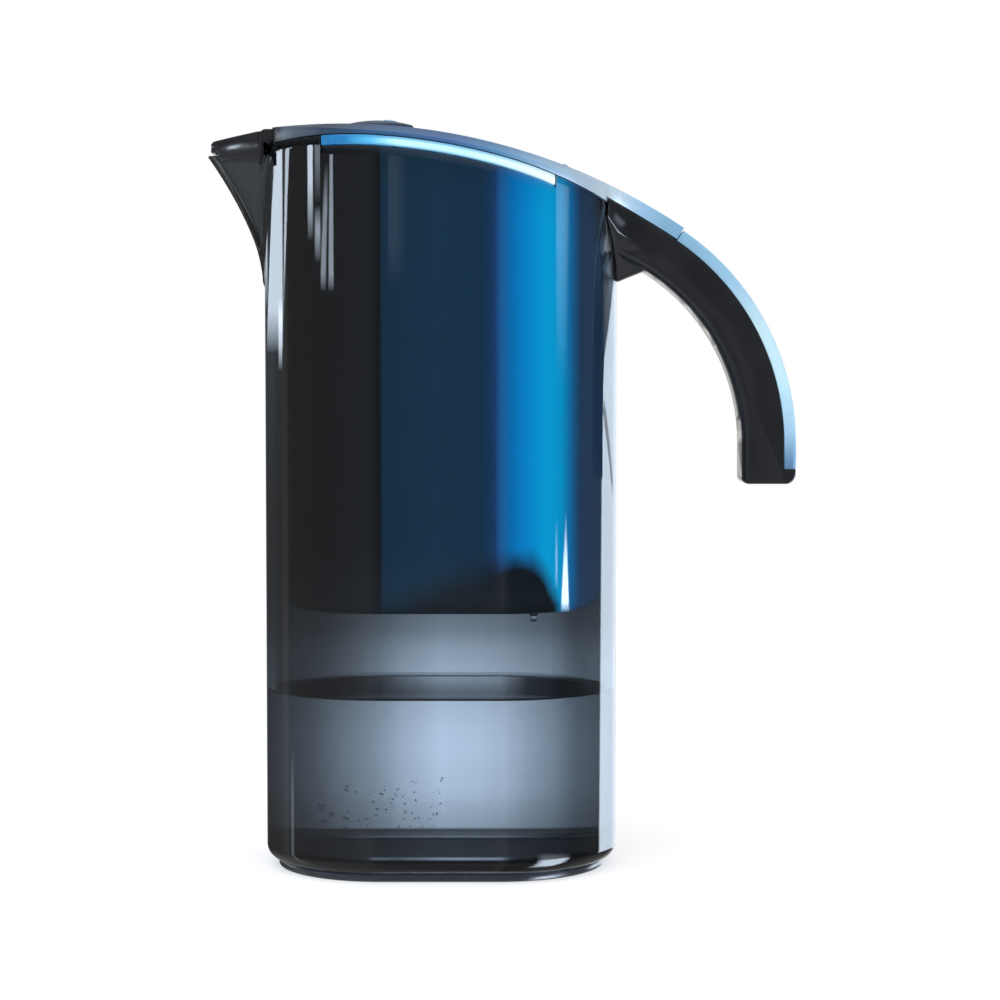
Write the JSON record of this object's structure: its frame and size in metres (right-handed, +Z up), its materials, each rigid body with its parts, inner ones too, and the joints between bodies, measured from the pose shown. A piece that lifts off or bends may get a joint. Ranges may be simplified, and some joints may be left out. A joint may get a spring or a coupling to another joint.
{
  "type": "water filter jug",
  "caption": "Slim see-through water jug with a beak spout and ribbon handle, a hanging filter hopper with a drop-in cartridge, and an arched lid with a flip-up fill flap.",
  "frame": {"origin": "centre of the base pad's underside, where the jug stands", "axes": "+Z up; +X to the handle side, -X to the spout; +Y completes a right-handed frame"},
  "size_m": [0.2218, 0.09, 0.2821],
  "materials": {
    "smoked_clear": "clear smoky blue-grey gloss plastic",
    "pad_rubber": "soft matt",
    "black_gloss": "gloss",
    "silver_blue": "satin metallic silver-blue",
    "pearl_blue": "pearl gloss",
    "white_plastic": "fine matt",
    "seal_rubber": "soft matt",
    "carbon": "packed granules",
    "mesh_cloth": "fine mesh",
    "steel_blue": "satin gloss steel blue",
    "liner_plastic": "fine matt",
    "dark_satin": "satin",
    "lens_clear": "tinted clear",
    "display_glass": "liquid crystal panel",
    "board_green": "solder mask",
    "pin_steel": "ground"
  },
  "bodies": {
    "jug": {"jug_body": "smoked_clear", "base_pad": "pad_rubber", "handle_core": "black_gloss", "handle_trim": "silver_blue"},
    "hopper": {"hopper": "pearl_blue"},
    "cartridge": {"cartridge_cup": "white_plastic", "cartridge_cap": "white_plastic", "cartridge_seal": "seal_rubber", "filter_media": "carbon", "mesh_top": "mesh_cloth", "mesh_bottom": "mesh_cloth"},
    "lid": {"lid_shell": "steel_blue", "lid_liner": "liner_plastic", "lid_seal": "seal_rubber", "indicator_bezel": "dark_satin", "indicator_lens": "lens_clear", "indicator_display": "display_glass", "indicator_board": "board_green", "indicator_battery": "pin_steel", "indicator_cover": "dark_satin", "fill_flap_pin": "pin_steel", "spout_flap_pin": "pin_steel"},
    "button": {"indicator_button": "silver_blue"},
    "fill_flap": {"fill_flap": "steel_blue"},
    "spout_flap": {"spout_flap": "black_gloss"}
  },
  "joints": [
    {"name": "hopper_lift", "type": "slide", "parent": "jug", "child": "hopper", "axis": [0, 0, 1], "range_m": [0, 0.185]},
    {"name": "lid_lift", "type": "slide", "parent": "hopper", "child": "lid", "axis": [0, 0, 1], "range_m": [0, 0.06]},
    {"name": "cartridge_lift", "type": "slide", "parent": "hopper", "child": "cartridge", "axis": [0, 0, 1], "range_m": [0, 0.03]},
    {"name": "fill_flap_hinge", "type": "hinge", "parent": "lid", "child": "fill_flap", "pos_m": [0.046, 0, 0.26224], "axis": [0, 1, 0], "range_deg": [0, 100]},
    {"name": "spout_flap_hinge", "type": "hinge", "parent": "lid", "child": "spout_flap", "pos_m": [-0.0644, 0, 0.27463], "axis": [0, 1, 0], "range_deg": [0, 65]},
    {"name": "indicator_press", "type": "slide", "parent": "lid", "child": "button", "axis": [0, 0, -1], "range_m": [0, 0.0008], "stiffness_N_per_m": 600}
  ]
}
